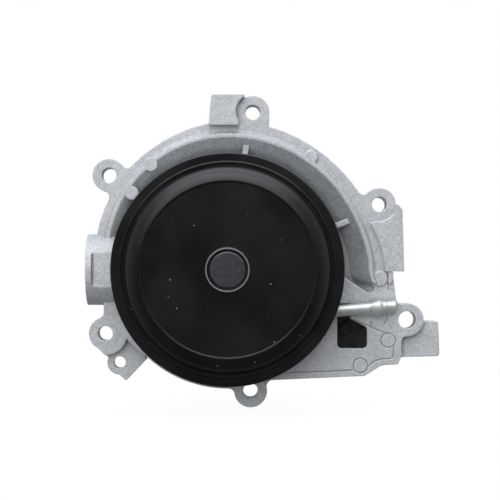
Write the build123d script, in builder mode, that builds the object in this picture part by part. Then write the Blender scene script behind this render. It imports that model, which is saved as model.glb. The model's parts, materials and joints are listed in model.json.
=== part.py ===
from build123d import *
import os
from math import cos, hypot, radians, sin

# Belt-driven engine coolant pump with a vacuum-operated shutter around its impeller.
#
# Millimetres, +Z up, +X to the right as seen from the pulley. The shaft turns about the
# Y axis and the pulley faces -Y. The origin is on the shaft axis, in the plane of the
# gasket face. A height is a distance forward of that face, towards the pulley; pieces
# that reach into the engine have negative heights.
#
# Round pieces are drawn as (radius, height) profiles and turned about the Y axis.

os.makedirs("parts", exist_ok=True)

# ---- driving dimensions ----------------------------------------------------------------

# Shaft and pulley
shaft_radius = 9.25
shaft_tail_radius = 8.0
shaft_tail_end = -20.5
pulley_radius = 60.0
pulley_front = 60.0
pulley_rim_front = 51.5
pulley_rear = 26.0
pulley_wall = 3.0
belt_rib_count = 6
belt_rib_pitch = 3.56
belt_rib_depth = 2.6
belt_track_radius = 57.4

# Flange: bolt holes as (X, Z), and its spiral rim as angle: radius
flange_front = 12.0
bolt_hole_radius = 4.0
right_bolt_hole_radius = 4.7
boss_radius = 8.9
neck_radius = 3.2
top_bolt = (13.5, 84.8)
upper_left_bolt = (-63.9, 50.9)
upper_right_bolt = (81.6, 35.2)
right_bolt = (96.6, -27.0)
bottom_bolt = (12.3, -65.2)
lower_left_bolt = (-65.9, -34.3)
bolts = [top_bolt, upper_left_bolt, upper_right_bolt, right_bolt, bottom_bolt, lower_left_bolt]
locating_hole = (-58.5, -50.1)
locating_hole_radius = 3.25
locating_lug_radius = 6.7
locating_lug_front = 8.0
rim_spiral = {172: 72.2, 152: 74.2, 132: 76.3, 116: 77.6, 100: 79.3, 70: 80.3, 45: 81.0, 24: 82.6}

# Scroll: the raised crest, as angle: radius, and the moat that falls from it towards the drum
crest_spiral = {176: 64.6, 150: 67.7, 126: 70.0, 100: 71.3, 68: 71.8, 35: 73.1, 12: 75.0, 2: 76.2, -4: 77.6}
crest_front = 14.0
crest_width = 1.5
crest_slope = 1.8
moat_floor = 4.0
moat_slope = 10.0

# Drum for the vacuum actuator, and the bearing tower on it
lower_rim_radius = 64.0
drum_foot_radius = 62.0
drum_radius = 61.0
drum_front = 24.0
drum_wall = 2.8
tower_radius = 26.0
tower_front = 43.5
chamber_radius = 49.5
chamber_front = drum_front - drum_wall
ledge_radius = 56.0
ledge_height = 6.5
neck_radius_outside = 23.5
neck_end = -6.0
seal_bore_radius = 17.0

# Bearing
bearing_radius = 20.0
bearing_rear = 3.0
bearing_front = 43.0
ring_bore_radius = 14.8
ball_radius = 3.2
ball_row = 33.5
ball_count = 9
roller_radius = 2.7
roller_length = 9.0
roller_row = 13.0
roller_count = 10
rolling_pitch_radius = 12.0
rolling_clearance = 0.05

# Left boss: a tunnel-shaped boss along X, closed by a core plug
side_boss_radius = 19.2
side_boss_axis = 4.0
side_boss_end = -75.8
side_boss_flat = 2.4
side_boss_collar = 4.4
core_bore_radius = 8.5
core_bore_axis = 10.8
core_bore_depth = 17.0

# Shutter and its actuator
sleeve_radius = 34.0
sleeve_wall = 1.6
sleeve_front = 4.0
sleeve_rear = -8.0
sleeve_web = 2.5
piston_rear = 16.2
piston_thickness = 2.0
diaphragm_thickness = 0.8
fold_height = 13.0
rod_radius = 2.0
rod_circle = 30.0
rod_angles = [90, 210, 330]
spring_circle = 42.0
spring_angles = [30, 150, 270]
spring_coil_radius = 3.3
spring_wire = 0.9
spring_turns = 6
spring_cup_floor = -2.0
cover_thickness = 2.0
screw_circle = 52.8
screw_angles = [0, 60, 120, 180, 240, 300]
screw_radius = 2.0

# Impeller
impeller_radius = 33.0
impeller_front = -9.5
impeller_rear = -19.0
impeller_eye_radius = 17.0
vane_count = 7

# Vacuum pipe, pressed into the side of the drum, and the pocket below it
pipe_height = 17.5
pipe_radius = 3.15
pipe_bore_radius = 2.0
pipe_foot = (50.0, -22.85)
pipe_mouth = (89.8, -19.5)
barb_radius = 4.25
pocket_floor = 3.0


# ---- helpers ---------------------------------------------------------------------------

def face_plane(height):
    """Plane parallel to the gasket face; sketches on it are drawn in X and Z."""
    return Plane.XZ.offset(height)


def radial_plane(angle):
    """Plane through the shaft axis; sketches on it are drawn in radius and height."""
    return Plane((0, 0, 0), x_dir=(cos(radians(angle)), 0, sin(radians(angle))),
                 z_dir=(sin(radians(angle)), 0, -cos(radians(angle))))


def polar(radius, angle):
    """X and Z of a point at a radius and an angle from the shaft axis."""
    return (radius * cos(radians(angle)), radius * sin(radians(angle)))


def profile(*points):
    """Closed face through (radius, height) points, to turn about the Y axis."""
    with BuildSketch(radial_plane(0)) as section:
        with BuildLine():
            Polyline(*points, close=True)
        make_face()
    return section.sketch


def ring(inner, outer, rear, front):
    """Section of a plain ring around the shaft axis, to turn about the Y axis."""
    return profile((inner, rear), (outer, rear), (outer, front), (inner, front))


def save(builder, name):
    """Label a finished piece and write it as one STEP file named after its node."""
    builder.part.label = name
    export_step(builder.part, f"parts/{name}.step")


# ---- pump housing ----------------------------------------------------------------------

right_edge = [(88.8, -1.0), (90.3, -13.0), (91.3, -22.0), (93.5, -30.0), (93.5, -46.9)]
lower_edge = [(91.6, -51.0), (82.9, -51.4), (73.8, -57.2), (14.0, -59.9)]
inside_drum = [(12.3, -58.0), (-40.0, -40.0)]
left_edge = [(-66.8, -30.0), (-66.8, -15.0)]
lug_edge = [(-73.2, -39.0), (-64.0, -48.0), (-59.5, -56.0), (-55.0, -60.1), (-43.9, -48.5), (-50.0, -30.0)]
lug_cut = [(-55.4, -36.2), (-43.0, -49.0), (-40.0, -75.0), (-85.0, -75.0), (-85.0, -36.2)]
lug_step_radius = 11.8
crest_foot_tip = [(81.4, -7.2), (78.0, -7.9), (75.0, -7.0)]
crest_tip = [(79.8, -7.0), (77.8, -7.7), (75.0, -6.9)]
moat_tip = [(81.0, -9.6), (79.0, -13.4), (75.6, -12.6)]
moat_floor_tip = [(70.4, -7.0), (69.6, -8.2), (68.6, -8.0)]
scroll_foot = (58.0, -1.0)
inside_scroll = [(0, -20), (-40, -10)]
top_block = [(-10.3, 77.6), (-8.9, 94.1), (9.0, 94.1), (9.0, 84.6), (5.0, 82.1), (6.0, 77.6)]
top_block_front = 16.0
top_block_corner_radius = 1.2
pad_right = [(76.9, 24.8), (84.0, 28.0), (87.5, 32.6), (91.3, 35.3), (93.9, 32.6), (94.9, -0.9), (84.6, -0.9)]
pad_left_middle = (81.9, 13.7)
pad_front = 13.4
spot_face_radius = 9.2
stub_block = [(88.0, -27.7), (113.9, -27.7), (114.6, -46.8), (88.0, -47.4)]
stub_corner_radius = 1.8
stub_front = 8.0
pocket_outline = [(58.9, -18.2), (66.0, -18.2), (66.0, -26.2), (75.1, -31.0), (75.1, -42.4), (58.9, -42.4)]
rib_angles = {81.5: 67.8, 22.0: 70.6}
rib_width = 2.9
rib_front = 10.5
moat_discs = [(-41.4, 56.6), (-51.6, 41.2), (44.7, 60.6)]
disc_radius = 3.6
tip_disc = (82.0, -4.8)
tip_disc_radius = 3.9
tip_tab = (87.7, -4.2)
tip_pad_height = 0.9
plateau_discs = [(86.4, -38.1), (71.4, -51.6)]
plateau_lines = [
    [(29.0, -55.6), (67.6, -54.2)],
    [(75.9, -51.6), (78.9, -49.4), (82.5, -48.1), (88.4, -47.8), (89.3, -45.5), (89.3, -41.4)],
    [(65.4, -25.9), (84.9, -34.2)],
    [(77.4, -27.6), (77.4, -31.1)],
    [(86.0, -22.0), (85.6, -27.2), (84.0, -29.5)],
    [(85.9, -1.6), (86.5, -11.0)],
]
line_width = 0.55
line_depth = 0.8
screw_depth = 11.0
gasket_width = 2.4
gasket_depth = 1.8
gasket_path = [polar(radius, angle) for angle, radius in
               ((170, 65.5), (145, 69.0), (120, 72.5), (92, 75.0), (64, 75.6), (40, 76.0), (20, 78.0))]
gasket_path += [(79.5, 8.0), (83.0, -12.0), (83.5, -32.0), (78.0, -45.0), (60.0, -52.5), (35.0, -53.0)]
gasket_path += [polar(58.9, angle) for angle in (285, 262, 240, 218, 196)]
pipe_length = hypot(pipe_mouth[0] - pipe_foot[0], pipe_mouth[1] - pipe_foot[1])
pipe_slope = (pipe_mouth[1] - pipe_foot[1]) / pipe_length
pipe_direction = ((pipe_mouth[0] - pipe_foot[0]) / pipe_length, 0, pipe_slope)
pipe_section = Plane((pipe_foot[0], -pipe_height, pipe_foot[1]), x_dir=(0, 1, 0), z_dir=pipe_direction)
pipe_profile_plane = Plane((pipe_foot[0], -pipe_height, pipe_foot[1]), x_dir=pipe_direction,
                           z_dir=(pipe_direction[2], 0, -pipe_direction[0]))
pipe_bore_reach = 12.0


def on_edges(part, points, reach=0.5):
    """Edges along Y that pass within reach of any of the (X, Z) points."""
    edges = part.edges().filter_by(Axis.Y)
    return [e for e in edges if any(hypot(e.center().X - x, e.center().Z - z) < reach for x, z in points)]


def boss_necks(part):
    """Edges along Y where a round bolt boss leaves the flange, apart from the top boss's straight sides."""
    edges = part.edges().filter_by(Axis.Y).filter_by(lambda e: e.center().Z < 77.5)
    return [e for e in edges for x, z in bolts
            if abs(hypot(e.center().X - x, e.center().Z - z) - boss_radius) < 0.01]


def scroll_face(height, outset, tip):
    """Face inside the scroll's crest: round from the left boss to the rounded tip, then back to the drum."""
    crest_points = [polar(radius + outset, angle) for angle, radius in crest_spiral.items()]
    with BuildSketch(face_plane(height)) as section:
        with BuildLine():
            crest = Spline(*crest_points, tip[0])
            ThreePointArc(*tip)
            Polyline(tip[2], scroll_foot, *inside_scroll, crest @ 0)
        make_face()
    return section.sketch


def engraved_line(points):
    """Thin line through the points, as a face on the front of the flange."""
    with BuildSketch(face_plane(flange_front)) as section:
        with BuildLine():
            Polyline(*points)
        trace(line_width=line_width)
    return section.sketch


with BuildPart() as pump_housing:
    # Flange plate: spiral rim, stepped right and lower edges, a round boss at each bolt
    with BuildSketch(face_plane(0)):
        with BuildLine():
            rim = Spline(*[polar(radius, angle) for angle, radius in rim_spiral.items()])
            Polyline(rim @ 1, upper_right_bolt, *right_edge, *lower_edge, *inside_drum, *left_edge, rim @ 0)
        make_face()
        Circle(lower_rim_radius)
        with Locations(*bolts):
            Circle(boss_radius)
        with Locations((top_bolt[0], top_bolt[1] - 7)):
            Rectangle(2 * boss_radius, 14)
        with BuildLine():
            Polyline(*lug_edge, close=True)
        make_face()
        with Locations(locating_hole):
            Circle(locating_lug_radius)
    extrude(amount=flange_front)
    fillet(boss_necks(pump_housing), neck_radius)
    fillet(on_edges(pump_housing, [(82.9, -51.4)]), 7)
    fillet(on_edges(pump_housing, [(73.8, -57.2), (88.8, -1.0), (90.3, -13.0)]), 3)
    fillet(on_edges(pump_housing, [(93.5, -46.9), (91.6, -51.0), (-55.0, -60.1)]), 1.2)

    # The locating lug stands back from the flange, outside a step around the lower left bolt
    with BuildSketch(face_plane(locating_lug_front)):
        with BuildLine():
            Polyline(*lug_cut, close=True)
        make_face()
        with Locations(lower_left_bolt):
            Circle(lug_step_radius, mode=Mode.SUBTRACT)
    extrude(amount=flange_front, mode=Mode.SUBTRACT)

    # Scroll: a crest that stands above the flange, and the moat inside it
    loft([scroll_face(flange_front, crest_width + crest_slope, crest_foot_tip),
          scroll_face(crest_front, crest_width, crest_tip)], ruled=True)
    loft([scroll_face(moat_floor, -moat_slope, moat_floor_tip),
          scroll_face(crest_front, 0, moat_tip)], ruled=True, mode=Mode.SUBTRACT)

    # Drum with drafted sides, and the bearing tower on it
    revolve(profile((0, 0), (drum_foot_radius, 0), (drum_foot_radius, moat_floor),
                    (drum_radius, drum_front - 1.2), (drum_radius - 1.2, drum_front),
                    (tower_radius + 3, drum_front), (tower_radius, drum_front + 3),
                    (tower_radius - 1, tower_front - 1), (tower_radius - 2, tower_front), (0, tower_front)),
            axis=Axis.Y)

    # Left boss, cut flush with the gasket face, with a flat on its crown behind a full-round collar
    with BuildSketch(Plane.YZ.offset(side_boss_end)):
        with Locations((-side_boss_axis, 0)):
            Circle(side_boss_radius)
        with Locations((50, 0)):
            Rectangle(100, 100, mode=Mode.SUBTRACT)
    extrude(amount=20)
    boss_crown = side_boss_axis + side_boss_radius
    with BuildSketch(face_plane(boss_crown - side_boss_flat)):
        with Locations((side_boss_end + side_boss_collar + 10, 0)):
            Rectangle(20, 30)
    extrude(amount=side_boss_flat, mode=Mode.SUBTRACT)
    with BuildSketch(face_plane(boss_crown - side_boss_flat - 1.0)):
        with Locations((side_boss_end + side_boss_collar - 0.6, 0)):
            Rectangle(1.2, 17)
    extrude(amount=side_boss_flat + 1.0, mode=Mode.SUBTRACT)

    # Raised blocks: at the top, the pad on the right, and the low stub behind the right bolt
    with BuildSketch(face_plane(0)):
        with BuildLine():
            Polyline(*top_block, close=True)
        make_face()
    extrude(amount=top_block_front)
    fillet(on_edges(pump_housing, top_block[:2]), top_block_corner_radius)
    with BuildSketch(face_plane(0)):
        with BuildLine():
            Polyline(*pad_right)
            ThreePointArc(pad_right[-1], pad_left_middle, pad_right[0])
        make_face()
    extrude(amount=pad_front)
    with BuildSketch(face_plane(flange_front)):
        with Locations(top_bolt, upper_right_bolt, bottom_bolt):
            Circle(spot_face_radius)
    extrude(amount=top_block_front, mode=Mode.SUBTRACT)
    with BuildSketch(face_plane(0)):
        with BuildLine():
            Polyline(*stub_block, close=True)
        make_face()
    extrude(amount=stub_front)
    fillet(on_edges(pump_housing, stub_block[1:3]), stub_corner_radius)

    # Ribs across the moat, and round casting pads
    for angle, reach in rib_angles.items():
        with BuildSketch(radial_plane(angle)):
            with BuildLine():
                Polyline((60, 2), (reach, 2), (reach, rib_front), (60, rib_front), close=True)
            make_face()
        extrude(amount=rib_width / 2, both=True)
    with BuildSketch(face_plane(2)):
        with Locations(*moat_discs):
            Circle(disc_radius)
    extrude(amount=crest_front - 2)
    with BuildSketch(face_plane(flange_front)):
        with Locations(tip_disc):
            Circle(tip_disc_radius)
        with Locations(tip_tab):
            SlotOverall(7.0, 2.6, rotation=84)
    extrude(amount=tip_pad_height)
    with BuildSketch(face_plane(flange_front)):
        with Locations(*plateau_discs):
            Circle(disc_radius + line_width)
            Circle(disc_radius, mode=Mode.SUBTRACT)
    extrude(amount=-line_depth, mode=Mode.SUBTRACT)
    for points in plateau_lines:
        extrude(engraved_line(points), amount=-line_depth, mode=Mode.SUBTRACT)

    # Pocket for the moulded insert
    with BuildSketch(face_plane(pocket_floor)):
        with BuildLine():
            Polyline(*pocket_outline, close=True)
        make_face()
    extrude(amount=drum_front, mode=Mode.SUBTRACT)
    fillet(on_edges(pump_housing, pocket_outline[3:]), 2.5)

    # Bearing bore, seal bore, and the chamber and ledge for the actuator, all from behind
    revolve(ring(neck_radius_outside, ledge_radius, 0, ledge_height), axis=Axis.Y, mode=Mode.SUBTRACT)
    revolve(ring(neck_radius_outside, chamber_radius, 0, chamber_front), axis=Axis.Y, mode=Mode.SUBTRACT)
    revolve(ring(seal_bore_radius, neck_radius_outside, neck_end, 1), axis=Axis.Y)
    revolve(ring(0, bearing_radius, bearing_rear, tower_front), axis=Axis.Y, mode=Mode.SUBTRACT)
    revolve(ring(0, seal_bore_radius, neck_end, bearing_rear), axis=Axis.Y, mode=Mode.SUBTRACT)

    # Seat for the vacuum pipe in the drum's side, and the bore from it into the chamber
    with BuildSketch(pipe_section):
        Circle(pipe_radius)
    extrude(amount=drum_radius, mode=Mode.SUBTRACT)
    with BuildSketch(pipe_section):
        Circle(pipe_bore_radius)
    extrude(amount=-pipe_bore_reach, mode=Mode.SUBTRACT)

    # Bolt holes, locating hole, actuator screw holes and the core bore in the left boss
    with BuildSketch(face_plane(0)):
        with Locations(*bolts):
            Circle(bolt_hole_radius)
        with Locations(right_bolt):
            Circle(right_bolt_hole_radius)
        with Locations(locating_hole):
            Circle(locating_hole_radius)
    extrude(amount=top_block_front, mode=Mode.SUBTRACT)
    with BuildSketch(face_plane(ledge_height)):
        with Locations(*[polar(screw_circle, angle) for angle in screw_angles]):
            Circle(screw_radius)
    extrude(amount=screw_depth, mode=Mode.SUBTRACT)
    with BuildSketch(Plane.YZ.offset(side_boss_end)):
        with Locations((-core_bore_axis, 0)):
            Circle(core_bore_radius)
    extrude(amount=core_bore_depth, mode=Mode.SUBTRACT)

    # Groove for the moulded gasket, on the engine side
    with BuildSketch(face_plane(0)):
        with BuildLine():
            Spline(*gasket_path, periodic=True)
        trace(line_width=gasket_width + 0.6)
    extrude(amount=gasket_depth, mode=Mode.SUBTRACT)
save(pump_housing, "pump_housing")


# ---- bearing ---------------------------------------------------------------------------

def rolling_track():
    """Round section of the ball track, to turn about the Y axis."""
    with BuildSketch(radial_plane(0)) as section:
        with Locations((rolling_pitch_radius, ball_row)):
            Circle(ball_radius + rolling_clearance)
    return section.sketch


def around_shaft(radius, count, height):
    """Evenly spaced points around the shaft axis at one height."""
    turns = [polar(radius, 360 * step / count) for step in range(count)]
    return [(x, -height, z) for x, z in turns]


with BuildPart() as bearing_outer_ring:
    revolve(profile((ring_bore_radius, bearing_rear), (bearing_radius - 0.6, bearing_rear),
                    (bearing_radius, bearing_rear + 0.6), (bearing_radius, bearing_front - 0.6),
                    (bearing_radius - 0.6, bearing_front), (ring_bore_radius, bearing_front)), axis=Axis.Y)
    revolve(rolling_track(), axis=Axis.Y, mode=Mode.SUBTRACT)
save(bearing_outer_ring, "bearing_outer_ring")

with BuildPart() as bearing_shaft:
    revolve(profile((0, shaft_tail_end), (shaft_tail_radius - 0.6, shaft_tail_end),
                    (shaft_tail_radius, shaft_tail_end + 0.6), (shaft_tail_radius, bearing_rear - 1),
                    (shaft_radius, bearing_rear), (shaft_radius, pulley_front - 0.5),
                    (shaft_radius - 0.5, pulley_front), (0, pulley_front)), axis=Axis.Y)
    revolve(rolling_track(), axis=Axis.Y, mode=Mode.SUBTRACT)
save(bearing_shaft, "bearing_shaft")

with BuildPart() as bearing_balls:
    with Locations(*around_shaft(rolling_pitch_radius, ball_count, ball_row)):
        Sphere(ball_radius)
save(bearing_balls, "bearing_balls")

with BuildPart() as ball_cage:
    revolve(ring(10.6, 13.4, ball_row - 4.4, ball_row + 4.4), axis=Axis.Y)
    for x, y, z in around_shaft(1, ball_count, ball_row):
        with BuildSketch(Plane((0, y, 0), x_dir=(0, 1, 0), z_dir=(x, 0, z))):
            Circle(ball_radius + rolling_clearance)
        extrude(amount=bearing_radius, mode=Mode.SUBTRACT)
save(ball_cage, "ball_cage")

roller_rear = roller_row - roller_length / 2
with BuildPart() as bearing_rollers:
    with BuildSketch(face_plane(roller_rear)):
        with PolarLocations(rolling_pitch_radius, roller_count):
            Circle(roller_radius)
    extrude(amount=roller_length)
save(bearing_rollers, "bearing_rollers")

with BuildPart() as roller_cage:
    revolve(ring(10.8, 13.2, roller_rear - 2, roller_rear + roller_length + 2), axis=Axis.Y)
    with BuildSketch(face_plane(roller_rear - rolling_clearance)):
        with PolarLocations(rolling_pitch_radius, roller_count):
            Circle(roller_radius + rolling_clearance)
    extrude(amount=roller_length + 2 * rolling_clearance, mode=Mode.SUBTRACT)
save(roller_cage, "roller_cage")

seal_gap = 0.1
bearing_seal_width = 1.8
seal_recess = 0.8
seal_places = {"front_bearing_seal": bearing_front - seal_recess - bearing_seal_width,
               "rear_bearing_seal": bearing_rear + seal_recess}
for seal_name, seal_rear in seal_places.items():
    with BuildPart() as bearing_seal:
        revolve(ring(shaft_radius + seal_gap, ring_bore_radius, seal_rear, seal_rear + bearing_seal_width),
                axis=Axis.Y)
    save(bearing_seal, seal_name)


# ---- pulley ----------------------------------------------------------------------------

web_front = pulley_front - 0.6
web_rear = pulley_front - 3.6
web_radius = 44.6
ridge_radius = 45.4
shoulder_middle = (49.6, 57.5)
shoulder_foot = (52.6, 53.8)
dish_radius = 52.8
dish_inside_radius = dish_radius - 2.5
dish_rear = 44.0
dish_front = 53.6
belt_ring_bore_radius = belt_track_radius - belt_rib_depth - pulley_wall
hub_radius = 12.8
hub_rear = 44.8
belt_front = pulley_rim_front - 2.5

belt_grooves = []
for rib in range(belt_rib_count):
    groove_front = belt_front - rib * belt_rib_pitch
    belt_grooves += [(belt_track_radius, groove_front - 0.45),
                     (belt_track_radius - belt_rib_depth, groove_front - 1.45),
                     (belt_track_radius - belt_rib_depth, groove_front - 2.11),
                     (belt_track_radius, groove_front - 3.11)]

with BuildPart() as pulley:
    with BuildSketch(radial_plane(0)):
        with BuildLine():
            # Hub with a rounded bead around the shaft end, and the flat web
            Polyline((shaft_radius, hub_rear), (shaft_radius, web_front), (9.9, web_front))
            ThreePointArc((9.9, web_front), (10.6, pulley_front + 0.2), (11.3, web_front))
            Line((11.3, web_front), (web_radius, web_front))
            # Fine ridge at the edge of the web, then the rounded shoulder that falls back to the belt ring
            ThreePointArc((web_radius, web_front), (45.0, web_front + 0.5), (ridge_radius, web_front + 0.45))
            ThreePointArc((ridge_radius, web_front + 0.45), shoulder_middle, shoulder_foot)
            Line(shoulder_foot, (dish_radius, dish_front - 0.3))
            Polyline((dish_radius, dish_front - 0.3), (dish_radius, dish_rear),
                     (dish_inside_radius, dish_rear), (dish_inside_radius, 51.8))
            # Inside of the dish
            Polyline((dish_inside_radius, 51.8), (ridge_radius - 1.0, web_rear), (hub_radius + 1.5, web_rear),
                     (hub_radius, web_rear - 1.5), (hub_radius, hub_rear), (shaft_radius, hub_rear))
        make_face()
    revolve(axis=Axis.Y)
save(pulley, "pulley")

# Belt ring: pressed over the edge of the dish, with a bead and a flat lip in front of the ribs
with BuildPart() as belt_ring:
    with BuildSketch(radial_plane(0)):
        with BuildLine():
            Line((dish_radius, pulley_rim_front), (54.2, pulley_rim_front))
            ThreePointArc((54.2, pulley_rim_front), (54.9, pulley_rim_front + 0.5), (55.6, pulley_rim_front))
            Line((55.6, pulley_rim_front), (pulley_radius - 0.8, pulley_rim_front))
            ThreePointArc((pulley_radius - 0.8, pulley_rim_front),
                          (pulley_radius - 0.23, pulley_rim_front - 0.23),
                          (pulley_radius, pulley_rim_front - 0.8))
            Polyline((pulley_radius, pulley_rim_front - 0.8), (pulley_radius, pulley_rim_front - 1.4),
                     (belt_track_radius, belt_front), *belt_grooves, (belt_track_radius, pulley_rear + 2.0),
                     (pulley_radius, pulley_rear + 1.3), (pulley_radius, pulley_rear + 0.5),
                     (pulley_radius - 0.5, pulley_rear), (belt_ring_bore_radius, pulley_rear),
                     (belt_ring_bore_radius, dish_rear), (dish_radius, dish_rear),
                     (dish_radius, pulley_rim_front))
        make_face()
    revolve(axis=Axis.Y)
save(belt_ring, "belt_ring")


# ---- shaft seal ------------------------------------------------------------------------

cup_wall = 0.8
seal_cup_front = 2.4
cup_back = seal_cup_front - cup_wall
cup_inside_radius = seal_bore_radius - cup_wall

with BuildPart() as seal_cup:
    revolve(profile((10.0, cup_back), (cup_inside_radius, cup_back), (cup_inside_radius, neck_end - cup_wall),
                    (18.8, neck_end - cup_wall), (18.8, neck_end), (seal_bore_radius, neck_end),
                    (seal_bore_radius, seal_cup_front), (10.0, seal_cup_front)), axis=Axis.Y)
save(seal_cup, "seal_cup")

with BuildPart() as seal_bellows:
    revolve(profile((10.2, 1.5), (12.7, 1.5), (12.7, 0.4), (11.6, -0.6), (12.7, -1.6), (12.7, -3.8),
                    (10.2, -3.8)), axis=Axis.Y)
save(seal_bellows, "seal_bellows")

with BuildPart() as seal_spring:
    with BuildLine() as coil:
        Helix(pitch=1.7, height=4.2, radius=14.4, center=(0, 3.3, 0), direction=(0, -1, 0))
    with BuildSketch(Plane(coil.line @ 0, z_dir=coil.line % 0)):
        Circle(0.45)
    sweep()
save(seal_spring, "seal_spring")

with BuildPart() as carbon_ring:
    revolve(profile((9.6, -3.9), (13.4, -3.9), (13.4, -6.0), (12.4, -6.0), (12.4, -6.85), (10.6, -6.85),
                    (10.6, -6.0), (9.6, -6.0)), axis=Axis.Y)
save(carbon_ring, "carbon_ring")

with BuildPart() as counter_ring:
    revolve(ring(9.0, 13.6, -8.5, -6.9), axis=Axis.Y)
save(counter_ring, "counter_ring")

with BuildPart() as counter_ring_boot:
    revolve(profile((shaft_tail_radius, -9.4), (13.6, -9.4), (13.6, -8.5), (9.0, -8.5), (9.0, -6.9),
                    (shaft_tail_radius, -6.9)), axis=Axis.Y)
save(counter_ring_boot, "counter_ring_boot")


# ---- impeller --------------------------------------------------------------------------

bush_radius = 11.0
shroud_thickness = 1.5
vane_thickness = 1.6


def vane_section(turn):
    """Section of one swept-back vane, on the inner face of the rear shroud."""
    with BuildSketch(face_plane(impeller_rear + shroud_thickness)) as section:
        with BuildLine():
            ThreePointArc(polar(bush_radius + 2.5, turn), polar(23.0, turn - 16),
                          polar(impeller_radius - 1, turn - 48))
        trace(line_width=vane_thickness)
    return section.sketch


with BuildPart() as impeller:
    revolve(ring(bush_radius, impeller_radius, impeller_front - shroud_thickness, impeller_front),
            axis=Axis.Y)
    revolve(profile((bush_radius, impeller_rear), (bush_radius + 2.5, impeller_rear),
                    (bush_radius + 4.5, impeller_front - shroud_thickness),
                    (bush_radius, impeller_front - shroud_thickness)), axis=Axis.Y)
    revolve(ring(impeller_eye_radius, impeller_radius, impeller_rear, impeller_rear + shroud_thickness),
            axis=Axis.Y)
    for vane in range(vane_count):
        extrude(vane_section(360 * vane / vane_count),
                amount=impeller_front - impeller_rear - 2 * shroud_thickness)
save(impeller, "impeller")

with BuildPart() as impeller_bush:
    revolve(ring(shaft_tail_radius, bush_radius, impeller_rear - 0.5, impeller_front), axis=Axis.Y)
save(impeller_bush, "impeller_bush")


# ---- vacuum actuator and shutter -------------------------------------------------------

cup_outer_radius = 5.5
cup_inner_radius = 4.6
bush_outer_radius = 4.0
running_clearance = 0.05
sheet_front = piston_rear + piston_thickness + diaphragm_thickness
rod_points = [polar(rod_circle, angle) for angle in rod_angles]
spring_points = [polar(spring_circle, angle) for angle in spring_angles]
screw_points = [polar(screw_circle, angle) for angle in screw_angles]


def cut_holes(points, radius):
    """Round holes through a plate at points around the shaft axis."""
    with BuildSketch(face_plane(-20)) as section:
        with Locations(*points):
            Circle(radius)
    return section.sketch


with BuildPart() as actuator_cover:
    revolve(ring(neck_radius_outside + 0.3, ledge_radius - 0.2, ledge_height - cover_thickness, ledge_height),
            axis=Axis.Y)
    with BuildSketch(face_plane(spring_cup_floor - 1)):
        with Locations(*spring_points):
            Circle(cup_outer_radius)
    extrude(amount=ledge_height - spring_cup_floor + 1)
    with BuildSketch(face_plane(spring_cup_floor)):
        with Locations(*spring_points):
            Circle(cup_inner_radius)
    extrude(amount=20, mode=Mode.SUBTRACT)
    extrude(cut_holes(rod_points, bush_outer_radius), amount=40, mode=Mode.SUBTRACT)
    extrude(cut_holes(screw_points, screw_radius), amount=40, mode=Mode.SUBTRACT)
save(actuator_cover, "actuator_cover")

with BuildPart() as cover_screws:
    with BuildSketch(face_plane(ledge_height - cover_thickness)):
        with Locations(*screw_points):
            Circle(screw_radius)
    extrude(amount=screw_depth)
    with BuildSketch(face_plane(ledge_height - cover_thickness)):
        with Locations(*screw_points):
            Circle(2.9)
            RegularPolygon(1.6, 6, mode=Mode.SUBTRACT)
    extrude(amount=-2.2)
    with BuildSketch(face_plane(ledge_height - cover_thickness)):
        with Locations(*screw_points):
            Circle(2.9)
    extrude(amount=-1.0)
save(cover_screws, "cover_screws")

with BuildPart() as rod_bushes:
    with BuildSketch(face_plane(sleeve_front + 0.3)):
        with Locations(*rod_points):
            Circle(bush_outer_radius)
    extrude(amount=ledge_height - sleeve_front - 0.3)
    with BuildSketch(face_plane(ledge_height)):
        with Locations(*rod_points):
            Circle(bush_outer_radius + 0.9)
    extrude(amount=0.5)
    extrude(cut_holes(rod_points, rod_radius + running_clearance), amount=40, mode=Mode.SUBTRACT)
save(rod_bushes, "rod_bushes")

web_bore_radius = neck_radius_outside + 1.5
relief_points = [polar(rod_circle, angle + offset) for angle in rod_angles for offset in (40, 60, 80)]
relief_radius = 2.4
with BuildPart() as shutter_sleeve:
    revolve(profile((web_bore_radius, sleeve_front - sleeve_web), (sleeve_radius, sleeve_front - sleeve_web),
                    (sleeve_radius, sleeve_rear), (sleeve_radius + sleeve_wall, sleeve_rear),
                    (sleeve_radius + sleeve_wall, sleeve_front), (web_bore_radius, sleeve_front)),
            axis=Axis.Y)
    extrude(cut_holes(rod_points, rod_radius), amount=40, mode=Mode.SUBTRACT)
    extrude(cut_holes(relief_points, relief_radius), amount=40, mode=Mode.SUBTRACT)
save(shutter_sleeve, "shutter_sleeve")

rod_head_radius = 3.2
rod_head_height = 0.8
with BuildPart() as push_rods:
    with BuildSketch(face_plane(sleeve_front - sleeve_web)):
        with Locations(*rod_points):
            Circle(rod_radius)
    extrude(amount=sheet_front + 1.0 - sleeve_front + sleeve_web)
    with BuildSketch(face_plane(sleeve_front - sleeve_web - rod_head_height)):
        with Locations(*rod_points):
            Circle(rod_head_radius)
    extrude(amount=rod_head_height)
    with BuildSketch(face_plane(sheet_front + 1.0)):
        with Locations(*rod_points):
            Circle(rod_head_radius)
    extrude(amount=rod_head_height)
save(push_rods, "push_rods")

with BuildPart() as vacuum_piston:
    revolve(ring(27.3, 45.8, piston_rear, piston_rear + piston_thickness), axis=Axis.Y)
    extrude(cut_holes(rod_points, rod_radius), amount=60, mode=Mode.SUBTRACT)
save(vacuum_piston, "vacuum_piston")

with BuildPart() as piston_clamp_ring:
    revolve(ring(28.5, 44.5, sheet_front, sheet_front + 1.0), axis=Axis.Y)
    extrude(cut_holes(rod_points, rod_radius), amount=60, mode=Mode.SUBTRACT)
save(piston_clamp_ring, "piston_clamp_ring")

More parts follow.
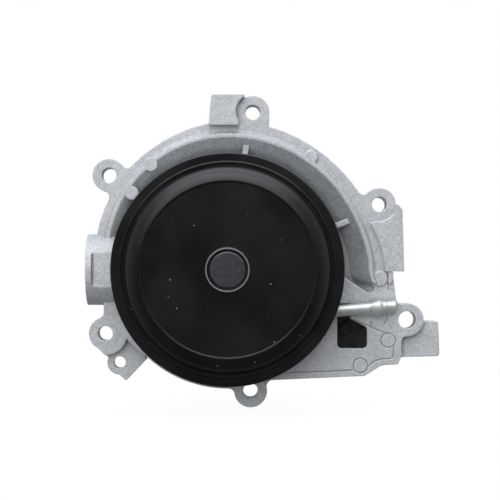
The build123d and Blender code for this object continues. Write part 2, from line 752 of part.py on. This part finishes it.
# Rolling diaphragm: a flat sheet on the piston, one fold on each side of it, and two beads
fold_rear = fold_height - diaphragm_thickness
sheet_rear = sheet_front - diaphragm_thickness
bead_rear = chamber_front - 1.8
bead_front = chamber_front - 0.2
with BuildPart() as diaphragm:
    revolve(profile((23.7, bead_rear), (24.1, bead_rear), (24.1, fold_rear), (26.9, fold_rear),
                    (26.9, sheet_rear), (46.1, sheet_rear), (46.1, fold_rear), (48.9, fold_rear),
                    (48.9, bead_rear), (49.3, bead_rear), (49.3, bead_front), (47.9, bead_front),
                    (47.9, bead_rear), (48.1, bead_rear), (48.1, fold_height), (46.9, fold_height),
                    (46.9, sheet_front), (26.1, sheet_front), (26.1, fold_height), (24.9, fold_height),
                    (24.9, bead_rear), (25.3, bead_rear), (25.3, bead_front), (23.7, bead_front)),
            axis=Axis.Y)
    extrude(cut_holes(rod_points, rod_radius + 0.3), amount=60, mode=Mode.SUBTRACT)
save(diaphragm, "diaphragm")

for band_name, band_inner, band_outer in (("inner_bead_band", 25.3, 26.0), ("outer_bead_band", 47.2, 47.9)):
    with BuildPart() as bead_band:
        revolve(ring(band_inner, band_outer, bead_rear, bead_front), axis=Axis.Y)
    save(bead_band, band_name)

spring_rear = spring_cup_floor + spring_wire / 2
spring_front = piston_rear - spring_wire / 2
with BuildPart() as return_springs:
    for x, z in spring_points:
        with BuildLine() as coil:
            Helix(pitch=(spring_front - spring_rear) / spring_turns, height=spring_front - spring_rear,
                  radius=spring_coil_radius, center=(x, -spring_rear, z), direction=(0, -1, 0))
        with BuildSketch(Plane(coil.line @ 0, z_dir=coil.line % 0)):
            Circle(spring_wire / 2)
        sweep(path=coil.line)
save(return_springs, "return_springs")


# ---- side plug and gasket --------------------------------------------------------------

with BuildPart() as core_plug:
    with BuildSketch(Plane.YZ.offset(side_boss_end + 0.8)):
        with Locations((-core_bore_axis, 0)):
            Circle(core_bore_radius)
    extrude(amount=5)
    with BuildSketch(Plane.YZ.offset(side_boss_end + 0.8)):
        with Locations((-core_bore_axis, 0)):
            Circle(core_bore_radius - 1)
    extrude(amount=3.8, mode=Mode.SUBTRACT)
save(core_plug, "core_plug")

with BuildPart() as gasket:
    with BuildSketch(face_plane(0)):
        with BuildLine():
            Spline(*gasket_path, periodic=True)
        trace(line_width=gasket_width)
    extrude(amount=gasket_depth)
save(gasket, "gasket")


# ---- vacuum pipe and pocket insert -----------------------------------------------------

with BuildPart() as vacuum_pipe:
    # Straight tube, then a hose barb: a long cone, a steep shoulder, and a grooved collar at the mouth
    with BuildSketch(pipe_profile_plane):
        with BuildLine():
            Polyline((0, pipe_bore_radius), (0, pipe_radius), (pipe_length - 13.6, pipe_radius),
                     (pipe_length - 9.6, barb_radius - 0.15), (pipe_length - 8.6, barb_radius),
                     (pipe_length - 8.0, barb_radius - 0.3), (pipe_length - 6.8, 3.4),
                     (pipe_length - 5.3, 3.4), (pipe_length - 5.1, 2.9), (pipe_length - 4.8, 2.9),
                     (pipe_length - 4.6, 3.35), (pipe_length - 0.3, 3.3), (pipe_length, 3.0),
                     (pipe_length, pipe_bore_radius), close=True)
        make_face()
    revolve(axis=Axis(pipe_profile_plane.origin, pipe_direction))
save(vacuum_pipe, "vacuum_pipe")

insert_thickness = 1.6
insert_block_front = 11.0
insert_outline = [(59.2, -18.5), (65.7, -18.5), (65.7, -26.4), (74.8, -31.3), (74.8, -42.1), (59.2, -42.1)]
insert_block = [(59.2, -18.5), (65.7, -18.5), (65.7, -26.4), (59.2, -26.4)]
insert_dome = (64.0, -31.6)
insert_dome_radius = 3.6

with BuildPart() as pocket_insert:
    with BuildSketch(face_plane(pocket_floor)):
        with BuildLine():
            Polyline(*insert_outline, close=True)
        make_face()
    extrude(amount=insert_thickness)
    fillet(on_edges(pocket_insert, insert_outline[3:]), 2.2)
    with BuildSketch(face_plane(pocket_floor)):
        with BuildLine():
            Polyline(*insert_block, close=True)
        make_face()
    extrude(amount=insert_block_front - pocket_floor)
    with BuildSketch(face_plane(pocket_floor)):
        with Locations(insert_dome):
            Circle(insert_dome_radius)
    extrude(amount=5.0)
    fillet(pocket_insert.faces().filter_by(Axis.Y).filter_by(
        lambda face: abs(face.center().Y + pocket_floor + 5.0) < 0.01).edges(), 1.5)
save(pocket_insert, "pocket_insert")
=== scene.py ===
import json
import math

import bmesh
import bpy
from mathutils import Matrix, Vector


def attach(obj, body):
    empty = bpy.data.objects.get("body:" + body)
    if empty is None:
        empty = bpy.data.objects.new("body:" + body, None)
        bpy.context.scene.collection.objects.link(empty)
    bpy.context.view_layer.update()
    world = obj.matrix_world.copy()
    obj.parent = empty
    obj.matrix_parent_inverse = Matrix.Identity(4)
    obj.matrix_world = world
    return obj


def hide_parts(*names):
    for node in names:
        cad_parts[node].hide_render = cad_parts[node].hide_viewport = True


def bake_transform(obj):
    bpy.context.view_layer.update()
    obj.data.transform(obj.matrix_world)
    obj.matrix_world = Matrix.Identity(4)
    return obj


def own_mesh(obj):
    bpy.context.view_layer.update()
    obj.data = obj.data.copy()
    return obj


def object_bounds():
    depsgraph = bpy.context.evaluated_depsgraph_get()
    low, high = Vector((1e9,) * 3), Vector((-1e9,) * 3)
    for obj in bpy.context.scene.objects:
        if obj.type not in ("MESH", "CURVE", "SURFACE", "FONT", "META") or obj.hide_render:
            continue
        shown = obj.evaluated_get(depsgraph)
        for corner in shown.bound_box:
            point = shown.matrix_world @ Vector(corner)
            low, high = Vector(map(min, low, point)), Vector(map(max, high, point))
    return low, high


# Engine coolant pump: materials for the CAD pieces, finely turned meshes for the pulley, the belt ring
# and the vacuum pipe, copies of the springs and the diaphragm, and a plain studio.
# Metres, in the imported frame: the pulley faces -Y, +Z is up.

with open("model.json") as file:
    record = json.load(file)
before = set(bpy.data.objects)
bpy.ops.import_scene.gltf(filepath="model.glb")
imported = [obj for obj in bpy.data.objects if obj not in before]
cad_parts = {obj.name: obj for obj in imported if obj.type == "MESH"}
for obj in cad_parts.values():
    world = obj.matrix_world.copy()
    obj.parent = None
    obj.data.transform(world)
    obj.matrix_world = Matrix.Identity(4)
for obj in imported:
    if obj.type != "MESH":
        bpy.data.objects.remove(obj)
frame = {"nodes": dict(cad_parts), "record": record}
cad_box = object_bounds()
nodes = frame["nodes"]
MM = 0.001


# ---- node helpers ----------------------------------------------------------------------

def add(tree, kind, inputs=None, **settings):
    """New shader node. Inputs are sockets to link, or values."""
    made = tree.nodes.new(kind)
    for key, value in settings.items():
        setattr(made, key, value)
    for key, value in (inputs or {}).items():
        if isinstance(value, bpy.types.NodeSocket):
            tree.links.new(value, made.inputs[key])
        else:
            made.inputs[key].default_value = value
    return made


def grey(value, alpha=1.0):
    return (value, value, value, alpha)


def noise(tree, where, size, detail=3.0, roughness=0.55):
    """Noise whose blotches are about size millimetres across."""
    texture = add(tree, "ShaderNodeTexNoise",
                  {"Vector": where, "Scale": 1.0 / (size * MM), "Detail": detail, "Roughness": roughness})
    return texture.outputs["Fac"]


def math_node(tree, operation, a, b=0.0, clamp=False):
    return add(tree, "ShaderNodeMath", {0: a, 1: b}, operation=operation, use_clamp=clamp).outputs[0]


def product(tree, first, *others):
    """All the values multiplied together."""
    for other in others:
        first = math_node(tree, "MULTIPLY", first, other)
    return first


def dot_product(tree, a, b):
    return add(tree, "ShaderNodeVectorMath", {0: a, 1: b}, operation="DOT_PRODUCT").outputs["Value"]


def spread(tree, value, low, high, to_low=0.0, to_high=1.0):
    """Maps low..high to to_low..to_high, clamped."""
    mapped = add(tree, "ShaderNodeMapRange",
                 {"Value": value, "From Min": low, "From Max": high, "To Min": to_low, "To Max": to_high})
    return mapped.outputs[0]


def mix(tree, amount, a, b, blend="MIX"):
    mixed = add(tree, "ShaderNodeMixRGB", {"Fac": amount, "Color1": a, "Color2": b}, blend_type=blend)
    return mixed.outputs[0]


def darker(tree, colour, share):
    """The colour multiplied by a share of its brightness."""
    return mix(tree, 1.0, colour, grey(share), "MULTIPLY")


def bump(tree, height, depth, normal=None):
    """Bump whose full swing is depth millimetres."""
    inputs = {"Height": height, "Distance": depth * MM, "Strength": 1.0}
    if normal is not None:
        inputs["Normal"] = normal
    return add(tree, "ShaderNodeBump", inputs).outputs[0]


def new_material(name):
    """Material with an empty Principled shader; returns it with its tree, shader and object coordinates."""
    material = bpy.data.materials.new(name)
    material.use_nodes = True
    tree = material.node_tree
    shader = tree.nodes["Principled BSDF"]
    where = add(tree, "ShaderNodeTexCoord").outputs["Object"]
    return material, tree, shader, where


def edge_mask(tree, rounded, strength):
    """1 on sharp edges, 0 on flat ground, from how far the rounded normal leans from the true one."""
    true_normal = add(tree, "ShaderNodeNewGeometry").outputs["Normal"]
    lean = dot_product(tree, rounded, true_normal)
    return math_node(tree, "MULTIPLY", math_node(tree, "SUBTRACT", 1.0, lean), strength, clamp=True)


# ---- materials -------------------------------------------------------------------------

def cast_aluminium():
    """Shot-blasted aluminium casting: fine grain, brighter edges, painted shade in corners and in the moat,
    milled gasket face.
    """
    material, tree, shader, where = new_material("cast_aluminium")
    rounded = add(tree, "ShaderNodeBevel", {"Radius": 1.1 * MM}, samples=8).outputs[0]
    fine = noise(tree, where, 1.0, 4.0, 0.75)
    medium = noise(tree, where, 2.2, 3.0)
    broad = noise(tree, where, 18.0, 3.0)
    pits = add(tree, "ShaderNodeTexVoronoi", {"Vector": where, "Scale": 1 / (1.1 * MM)}).outputs["Distance"]

    tone = product(tree, fine, 0.6)
    tone = math_node(tree, "ADD", tone, product(tree, medium, 0.25))
    tone = math_node(tree, "ADD", tone, product(tree, broad, 0.15))
    skin = mix(tree, spread(tree, tone, 0.39, 0.61), (0.335, 0.35, 0.37, 1), (0.585, 0.60, 0.62, 1))
    # Painted shade: corners, hole walls and recesses are darkened from ambient occlusion
    corners = add(tree, "ShaderNodeAmbientOcclusion", {"Distance": 5 * MM}, samples=6).outputs["AO"]
    skin = mix(tree, spread(tree, corners, 0.3, 0.9), darker(tree, skin, 0.6), skin)
    edges = edge_mask(tree, rounded, 6.0)
    skin = mix(tree, product(tree, edges, 0.5), skin, grey(0.84))
    # Painted shade: the moat's floor, slope and end wall are darkened as if in shadow
    skin = mix(tree, product(tree, moat_shade_mask(tree, where), 0.92), skin, darker(tree, skin, 0.58))

    # The gasket face is milled: brighter and smoother, with fine arcs of the cutter
    height = add(tree, "ShaderNodeSeparateXYZ", {0: where}).outputs["Y"]
    milled = spread(tree, height, -0.25 * MM, -0.1 * MM)
    neck = spread(tree, height, 0.3 * MM, 0.5 * MM)
    milled = product(tree, milled, math_node(tree, "SUBTRACT", 1.0, neck))
    arcs = add(tree, "ShaderNodeTexWave",
               {"Vector": where, "Scale": 420.0, "Distortion": 2.5, "Detail": 2.0, "Detail Scale": 60.0},
               wave_type="RINGS", rings_direction="Y").outputs["Fac"]
    bright = mix(tree, arcs, (0.53, 0.54, 0.55, 1), (0.63, 0.64, 0.65, 1))
    tree.links.new(mix(tree, milled, skin, bright), shader.inputs["Base Color"])

    dullness = spread(tree, medium, 0.3, 0.7, 0.52, 0.68)
    dullness = math_node(tree, "SUBTRACT", dullness, product(tree, edges, 0.12))
    dullness = mix(tree, milled, dullness, grey(0.3))
    tree.links.new(dullness, shader.inputs["Roughness"])
    grain = math_node(tree, "ADD", product(tree, fine, 0.8), product(tree, pits, 0.4))
    grain = mix(tree, milled, grain, product(tree, arcs, 0.12))
    wavy = bump(tree, medium, 0.14, rounded)
    tree.links.new(bump(tree, grain, 0.22, wavy), shader.inputs["Normal"])
    shader.inputs["Metallic"].default_value = 0.35
    return material


def from_axis(tree, split):
    """Outward direction and distance from the shaft axis, from separated coordinates."""
    across = add(tree, "ShaderNodeCombineXYZ", {"X": split.outputs["X"], "Z": split.outputs["Z"]}).outputs[0]
    distance = add(tree, "ShaderNodeVectorMath", {0: across}, operation="LENGTH").outputs["Value"]
    outward = add(tree, "ShaderNodeVectorMath", {0: across}, operation="NORMALIZE").outputs[0]
    return outward, distance


def moat_shade_mask(tree, where):
    """Where shade is painted into the moat: its floor, its inward-leaning slope up to the crest and its
    upward-facing end wall.
    """
    split = add(tree, "ShaderNodeSeparateXYZ", {0: where})
    outward, distance = from_axis(tree, split)
    true_normal = add(tree, "ShaderNodeNewGeometry").outputs["Normal"]
    lean = dot_product(tree, true_normal, outward)
    across = split.outputs["X"]
    depth = split.outputs["Y"]
    up = split.outputs["Z"]
    slope = product(tree, spread(tree, lean, -0.35, -0.6), spread(tree, depth, -13.9 * MM, -13.2 * MM))
    upward = add(tree, "ShaderNodeSeparateXYZ", {0: true_normal}).outputs["Z"]
    end_wall = product(tree, spread(tree, upward, 0.12, 0.28), spread(tree, distance, 82.0 * MM, 81.0 * MM),
                       spread(tree, up, 6.0 * MM, 3.0 * MM), spread(tree, up, -15.0 * MM, -14.4 * MM),
                       spread(tree, across, 55.0 * MM, 58.0 * MM))
    walls = product(tree, math_node(tree, "MAXIMUM", slope, end_wall), 0.75)
    floor = spread(tree, depth, -4.9 * MM, -4.5 * MM)
    inside = product(tree, spread(tree, distance, 61.0 * MM, 62.0 * MM),
                     spread(tree, depth, -3.2 * MM, -3.5 * MM))
    return product(tree, inside, math_node(tree, "MAXIMUM", walls, floor))


def bead_mask(tree, where):
    """1 on the crown of the hub bead, where handling has worn the coating."""
    split = add(tree, "ShaderNodeSeparateXYZ", {0: where})
    distance = from_axis(tree, split)[1]
    return product(tree, spread(tree, distance, 10.4 * MM, 10.6 * MM),
                   spread(tree, distance, 11.4 * MM, 11.2 * MM),
                   spread(tree, split.outputs["Y"], -59.5 * MM, -59.8 * MM))


def black_coating():
    """Satin black coating on pressed steel: soft orange peel, dust specks, thin scuffs on its edges."""
    material, tree, shader, where = new_material("black_coated_steel")
    rounded = add(tree, "ShaderNodeBevel", {"Radius": 0.3 * MM}, samples=6).outputs[0]
    peel = noise(tree, where, 1.6, 3.0)
    broad = noise(tree, where, 25.0, 2.0)
    coat = mix(tree, spread(tree, broad, 0.35, 0.65),
               (0.0028, 0.0029, 0.0031, 1), (0.0052, 0.0053, 0.0056, 1))
    specks = add(tree, "ShaderNodeTexVoronoi", {"Vector": where, "Scale": 1 / (6.5 * MM)}).outputs["Distance"]
    rare = noise(tree, where, 14.0, 0.0)
    dust = product(tree, spread(tree, specks, 0.06, 0.025), spread(tree, rare, 0.44, 0.5))
    edges = edge_mask(tree, rounded, 3.0)
    coat = mix(tree, product(tree, edges, 0.25), coat, grey(0.08))
    coat = mix(tree, bead_mask(tree, where), coat, (0.135, 0.14, 0.15, 1))
    tree.links.new(mix(tree, dust, coat, grey(0.22)), shader.inputs["Base Color"])
    tree.links.new(spread(tree, broad, 0.3, 0.7, 0.30, 0.38), shader.inputs["Roughness"])
    tree.links.new(bump(tree, peel, 0.012, rounded), shader.inputs["Normal"])
    shader.inputs["Specular IOR Level"].default_value = 0.55
    return material


def worked_steel(name, dark, bright, low_roughness, high_roughness, grain, grain_depth,
                 blotch=3.0, metallic=1.0):
    """Bare or plated steel: fine grain, cloudy tone and roughness."""
    material, tree, shader, where = new_material(name)
    rounded = add(tree, "ShaderNodeBevel", {"Radius": 0.25 * MM}, samples=4).outputs[0]
    fine = noise(tree, where, grain, 3.0)
    cloudy = noise(tree, where, blotch, 4.0)
    tone = mix(tree, spread(tree, cloudy, 0.35, 0.68), dark, bright)
    edges = edge_mask(tree, rounded, 3.0)
    tree.links.new(mix(tree, product(tree, edges, 0.4), tone, grey(0.85)), shader.inputs["Base Color"])
    tree.links.new(spread(tree, cloudy, 0.3, 0.7, low_roughness, high_roughness), shader.inputs["Roughness"])
    tree.links.new(bump(tree, fine, grain_depth, rounded), shader.inputs["Normal"])
    shader.inputs["Metallic"].default_value = metallic
    return material


def moulded(name, dark, bright, low_roughness, high_roughness, grain=0.8, depth=0.02):
    """Moulded rubber, plastic or pressed ceramic: speckled tone and a fine skin."""
    material, tree, shader, where = new_material(name)
    rounded = add(tree, "ShaderNodeBevel", {"Radius": 0.3 * MM}, samples=4).outputs[0]
    fine = noise(tree, where, grain, 4.0)
    cloudy = noise(tree, where, 6.0, 3.0)
    tree.links.new(mix(tree, spread(tree, cloudy, 0.35, 0.65), dark, bright), shader.inputs["Base Color"])
    tree.links.new(spread(tree, fine, 0.3, 0.7, low_roughness, high_roughness), shader.inputs["Roughness"])
    tree.links.new(bump(tree, fine, depth, rounded), shader.inputs["Normal"])
    return material


MATERIALS = {
    "cast_aluminium": cast_aluminium(),
    "black_coated_steel": black_coating(),
    "zinc_steel": worked_steel("zinc_steel", (0.62, 0.64, 0.63, 1), (0.74, 0.76, 0.75, 1),
                               0.26, 0.34, 0.9, 0.003, metallic=0.65),
    "bearing_steel": worked_steel("bearing_steel", (0.215, 0.22, 0.235, 1), (0.275, 0.28, 0.30, 1),
                                  0.38, 0.48, 0.4, 0.012, blotch=1.6),
    "stainless_steel": worked_steel("stainless_steel", (0.50, 0.49, 0.47, 1), (0.60, 0.59, 0.57, 1),
                                    0.26, 0.34, 0.6, 0.01),
    "spring_steel": worked_steel("spring_steel", grey(0.2), grey(0.34), 0.28, 0.4, 0.5, 0.01),
    "black_rubber": moulded("black_rubber", grey(0.014), grey(0.026), 0.55, 0.7, 0.9, 0.03),
    "black_plastic": moulded("black_plastic", grey(0.010), grey(0.018), 0.14, 0.26, 1.2, 0.01),
    "brown_plastic": moulded("brown_plastic", (0.10, 0.055, 0.028, 1), (0.15, 0.085, 0.045, 1),
                             0.35, 0.5, 0.6, 0.03),
    "carbon": moulded("carbon", grey(0.03), grey(0.05), 0.3, 0.42, 0.3, 0.01),
    "ceramic": moulded("ceramic", (0.62, 0.59, 0.52, 1), (0.7, 0.68, 0.62, 1), 0.2, 0.3, 0.3, 0.005),
}


def dress(obj, slot_name):
    """Gives an object one material."""
    obj.data.materials.clear()
    obj.data.materials.append(MATERIALS[slot_name])


def slot_of(node):
    """Material slot that the record gives a node."""
    return next(part["material_slot"] for part in frame["record"]["subparts"] if part["node"] == node)


for node_name, node in nodes.items():
    dress(node, slot_of(node_name))


# ---- turned pieces ---------------------------------------------------------------------

def smooth_outline(corners):
    """Rounds each corner of a closed outline; returns its points with their outward normals.

    Corners are (radius, height, rounding) in millimetres, counter-clockwise with the radius to the right.
    """
    outline = []
    for index, (radius, height, rounding) in enumerate(corners):
        corner = Vector((radius, height))
        before = corner - Vector(corners[index - 1][:2])
        after = Vector(corners[(index + 1) % len(corners)][:2]) - corner
        room = 0.92 * min(before.length, after.length)
        tangent = before.normalized()
        turn = math.atan2(tangent.cross(after), tangent.dot(after))
        reach = min(rounding * math.tan(abs(turn) / 2), room)
        bend = math.copysign(reach / math.tan(abs(turn) / 2), turn)
        centre = corner - tangent * reach + Vector((-tangent.y, tangent.x)) * bend
        steps = max(2, math.ceil(abs(turn) / math.radians(12)))
        for step in range(steps + 1):
            angle = turn * step / steps
            heading = Vector((tangent.x * math.cos(angle) - tangent.y * math.sin(angle),
                              tangent.x * math.sin(angle) + tangent.y * math.cos(angle)))
            outline.append((centre - Vector((-heading.y, heading.x)) * bend, Vector((heading.y, -heading.x))))
    return outline


def turned(name, corners, origin, axis, segments, replaced, body):
    """Fine mesh of an outline turned about an axis, in place of a CAD node."""
    outline = smooth_outline(corners)
    axis = Vector(axis).normalized()
    across = axis.cross(Vector((0.0, 0.0, 1.0))).normalized()
    third = axis.cross(across)
    vertices = []
    normals = []
    for step in range(segments):
        angle = 2 * math.pi * step / segments
        spoke = across * math.cos(angle) + third * math.sin(angle)
        for point, normal in outline:
            vertices.append((Vector(origin) + spoke * point.x + axis * point.y) * MM)
            normals.append(spoke * normal.x + axis * normal.y)
    faces = []
    size = len(outline)
    for step in range(segments):
        here = step * size
        there = (step + 1) % segments * size
        for index in range(size):
            ahead = (index + 1) % size
            faces.append((here + index, there + index, there + ahead, here + ahead))
    mesh = bpy.data.meshes.new(name)
    mesh.from_pydata(vertices, [], faces)
    mesh.shade_smooth()
    mesh.normals_split_custom_set_from_vertices(normals)
    piece = bpy.data.objects.new(name, mesh)
    bpy.context.scene.collection.objects.link(piece)
    dress(piece, slot_of(replaced))
    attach(piece, body)
    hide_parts(replaced)


PULLEY_AXIS = (0, -1, 0)
PULLEY_SEGMENTS = 320
shaft_radius = 9.25
hub_radius = 12.8
skirt_bore = 50.3
skirt_radius = 52.8
seat_height = 44.0

# Hub, web, skirt, rounded shoulder with its fine ridge, and the bead round the shaft end
hub = [(shaft_radius, 44.8, 0.2), (hub_radius, 44.8, 0.4), (hub_radius, 54.9, 1.0), (14.3, 56.4, 1.5)]
skirt = [(44.4, 56.4, 2.0), (skirt_bore, 51.8, 2.0), (skirt_bore, seat_height, 0.3),
         (skirt_radius, seat_height, 0.3), (skirt_radius, 53.5, 0.5)]
shoulder = [(50.35, 58.1, 12.0), (45.4, 59.8, 0.6), (44.7, 59.8, 0.4), (44.3, 59.4, 0.5)]
hub_bead = [(11.5, 59.4, 0.3), (11.1, 60.2, 0.3), (10.7, 60.2, 0.3), (10.3, 59.4, 0.3),
            (shaft_radius, 59.3, 0.1)]
pulley_outline = hub + skirt + shoulder + hub_bead
turned("turned_pulley", pulley_outline, (0, 0, 0), PULLEY_AXIS, PULLEY_SEGMENTS, "pulley", "rotor")

# Belt ring: rear lip, six V grooves, front lip with its bead, and the seat on the skirt
ring_bore = 51.8
ring_rear = 26.0
ring_front = 51.5
lip_radius = 60.0
rib_radius = 57.4
groove_radius = 54.8
ring_seat_radius = 52.85
groove_count = 6
groove_front = 49.0
groove_pitch = 3.56
belt_outline = [(ring_bore, ring_rear, 0.4), (lip_radius, ring_rear, 0.6), (lip_radius, 27.3, 0.5),
                (rib_radius, 28.0, 0.3)]
for groove in reversed(range(groove_count)):
    front = groove_front - groove * groove_pitch
    belt_outline += [(rib_radius, front - 3.11, 0.25), (groove_radius, front - 2.11, 0.2),
                     (groove_radius, front - 1.45, 0.2), (rib_radius, front - 0.45, 0.25)]
belt_outline += [(rib_radius, groove_front, 0.3), (lip_radius, 50.1, 0.4), (lip_radius, ring_front, 0.7),
                 (55.7, ring_front, 0.3), (55.3, 52.0, 0.4), (54.5, 52.0, 0.4), (54.1, ring_front, 0.3),
                 (ring_seat_radius, ring_front, 0.1), (ring_seat_radius, seat_height, 0.1),
                 (ring_bore, seat_height, 0.2)]
turned("turned_belt_ring", belt_outline, (0, 0, 0), PULLEY_AXIS, PULLEY_SEGMENTS, "belt_ring", "rotor")

# Vacuum pipe with its hose barb and grooved collar
pipe_foot = Vector((50.0, -17.5, -22.85))
pipe_mouth = Vector((89.8, -17.5, -19.5))
length = (pipe_mouth - pipe_foot).length
pipe_bore = 2.0
pipe_radius = 3.15
pipe_outline = [
    (pipe_bore, 0.0, 0.2), (pipe_radius, 0.0, 0.2), (pipe_radius, length - 13.6, 2.0),
    (4.15, length - 9.6, 1.0),
    (4.25, length - 8.6, 0.5), (3.95, length - 8.0, 0.3), (3.4, length - 6.8, 0.4), (3.4, length - 5.3, 0.1),
    (2.9, length - 5.1, 0.1), (2.9, length - 4.8, 0.1), (3.35, length - 4.6, 0.15), (3.3, length - 0.3, 0.3),
    (3.0, length, 0.15), (pipe_bore, length, 0.15),
]
turned("turned_pipe", pipe_outline, pipe_foot, pipe_mouth - pipe_foot, 72, "vacuum_pipe", "housing")


# ---- copies of the springs and the diaphragm -------------------------------------------

def pliable_copy(name, replaced):
    """Copy of a CAD node's mesh that stands in for it and hides the node."""
    piece = bpy.data.objects.new(name, nodes[replaced].data.copy())
    bpy.context.scene.collection.objects.link(piece)
    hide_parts(replaced)
    return piece


def axis_distance(vertex):
    return math.hypot(vertex.co.x, vertex.co.z) / MM


def cut_at_folds(mesh, walls, keep_between):
    """Cuts a ring-shaped mesh at the walls of its two folds and closes the cuts.

    Keeps the faces between the folds, or the faces of the folds and beyond them.
    """
    work = bmesh.new()
    work.from_mesh(mesh)
    bmesh.ops.remove_doubles(work, verts=work.verts, dist=0.001 * MM)
    unwanted = []
    for face in work.faces:
        distances = [axis_distance(vertex) for vertex in face.verts]
        between = min(distances) > walls[0] and max(distances) < walls[1]
        if between != keep_between:
            unwanted.append(face)
    bmesh.ops.delete(work, geom=unwanted, context="FACES")
    rims = [edge for edge in work.edges if edge.is_boundary]
    middle = sum(walls) / 2
    for inner in (True, False):
        pair = [edge for edge in rims if (axis_distance(edge.verts[0]) < middle) == inner]
        bmesh.ops.bridge_loops(work, edges=pair)
    work.to_mesh(mesh)
    work.free()


# The springs: a copy on the housing with a mesh of its own
springs = pliable_copy("squeezed_springs", "return_springs")
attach(springs, "housing")
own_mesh(springs)

# The diaphragm, cut at the walls of its folds: the sheet between them, and the beads with the folds and
# beyond
fold_walls = (26.0, 47.0)
sheet = pliable_copy("diaphragm_sheet", "diaphragm")
cut_at_folds(sheet.data, fold_walls, True)
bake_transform(sheet)
beads = pliable_copy("diaphragm_beads", "diaphragm")
cut_at_folds(beads.data, fold_walls, False)
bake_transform(beads)


# ---- camera ----------------------------------------------------------------------------

camera_data = bpy.data.cameras.new("camera")
camera_data.sensor_width = 36.0
camera_data.lens = 102.7
camera_data.shift_x = 0.036
camera_data.shift_y = 0.032
camera = bpy.data.objects.new("camera", camera_data)
camera.location = (0.0023, -0.78, 0.002)
camera.rotation_euler = (math.radians(90), 0, 0)
bpy.context.scene.collection.objects.link(camera)
bpy.context.scene.camera = camera
bpy.context.scene.view_settings.view_transform = "Standard"


# ---- studio ----------------------------------------------------------------------------

def area_light(name, place, target, width, height, watts):
    data = bpy.data.lights.new(name, "AREA")
    data.shape = "RECTANGLE"
    data.size = width
    data.size_y = height
    data.energy = watts
    light = bpy.data.objects.new(name, data)
    light.location = place
    light.rotation_euler = (Vector(target) - Vector(place)).to_track_quat("-Z", "Y").to_euler()
    bpy.context.scene.collection.objects.link(light)
    return light


def studio_world():
    """Room light: bright straight above and behind, soft at the sides, dim below and in front."""
    world = bpy.data.worlds.new("studio")
    world.use_nodes = True
    tree = world.node_tree
    direction = add(tree, "ShaderNodeTexCoord").outputs["Generated"]
    split = add(tree, "ShaderNodeSeparateXYZ", {0: direction})
    up = split.outputs["Z"]
    across = math_node(tree, "ABSOLUTE", split.outputs["X"])
    room = spread(tree, up, -0.2, 0.6, 0.06, 0.24)
    room = product(tree, room, spread(tree, split.outputs["Y"], -0.97, -0.7, 0.2, 1.0))
    ceiling = spread(tree, up, 0.65, 0.9, 0.0, 1.45)
    behind = spread(tree, split.outputs["Y"], 0.2, 0.7, 0.0, 0.7)
    sides = spread(tree, across, 0.75, 0.98, 0.0, 0.2)
    light = math_node(tree, "ADD", math_node(tree, "ADD", room, ceiling),
                      math_node(tree, "ADD", behind, sides))
    cool = mix(tree, 1.0, light, (0.95, 0.99, 1.07, 1), "MULTIPLY")
    tree.links.new(cool, tree.nodes["Background"].inputs["Color"])
    bpy.context.scene.world = world


def camera_only(obj):
    """Seen by the camera, but casts no light, shadow or reflection on the object."""
    obj.visible_diffuse = False
    obj.visible_glossy = False
    obj.visible_shadow = False


def disc_mesh(name, radius, rings, segments, height_at):
    """Round sheet whose height is a function of the distance from its centre."""
    vertices = []
    for ring in range(rings + 1):
        distance = radius * ring / rings
        for step in range(segments):
            angle = 2 * math.pi * step / segments
            vertices.append((distance * math.cos(angle), distance * math.sin(angle), height_at(distance)))
    faces = []
    for ring in range(rings):
        for step in range(segments):
            after = (step + 1) % segments
            faces.append((ring * segments + step, (ring + 1) * segments + step,
                          (ring + 1) * segments + after, ring * segments + after))
    mesh = bpy.data.meshes.new(name)
    mesh.from_pydata(vertices, [], faces)
    sheet = bpy.data.objects.new(name, mesh)
    bpy.context.scene.collection.objects.link(sheet)
    return sheet


def backdrop(floor_height):
    """Pale floor that curves up far away into a pale surround."""
    rise_from = 1.2
    steepness = 0.9
    reach = 5.0
    sheet = disc_mesh("floor", reach, 100, 96,
                      lambda d: floor_height + max(0.0, d - rise_from) ** 2 * steepness)
    material, tree, shader, where = new_material("floor")
    shader.inputs["Base Color"].default_value = grey(0.92)
    shader.inputs["Roughness"].default_value = 0.8
    away = add(tree, "ShaderNodeVectorMath", {0: where}, operation="LENGTH").outputs["Value"]
    glow = add(tree, "ShaderNodeEmission", {"Color": grey(1.0), "Strength": 1.0})
    blend = add(tree, "ShaderNodeMixShader", {0: spread(tree, away, 0.12, 0.4, 0.95, 1.0),
                                              1: shader.outputs[0], 2: glow.outputs[0]})
    tree.links.new(blend.outputs[0], tree.nodes["Material Output"].inputs["Surface"])
    sheet.data.materials.append(material)
    camera_only(sheet)


studio_world()
lowest = cad_box[0][2]
backdrop(lowest - 0.3 * MM)
area_light("key", (-0.10, -0.8, 0.9), (0, 0, 0), 1.8, 1.2, 8.0)
fill = area_light("fill", (-0.2, -1.2, 0.15), (0, 0, 0), 1.0, 1.0, 15.5)
fill.visible_glossy = False
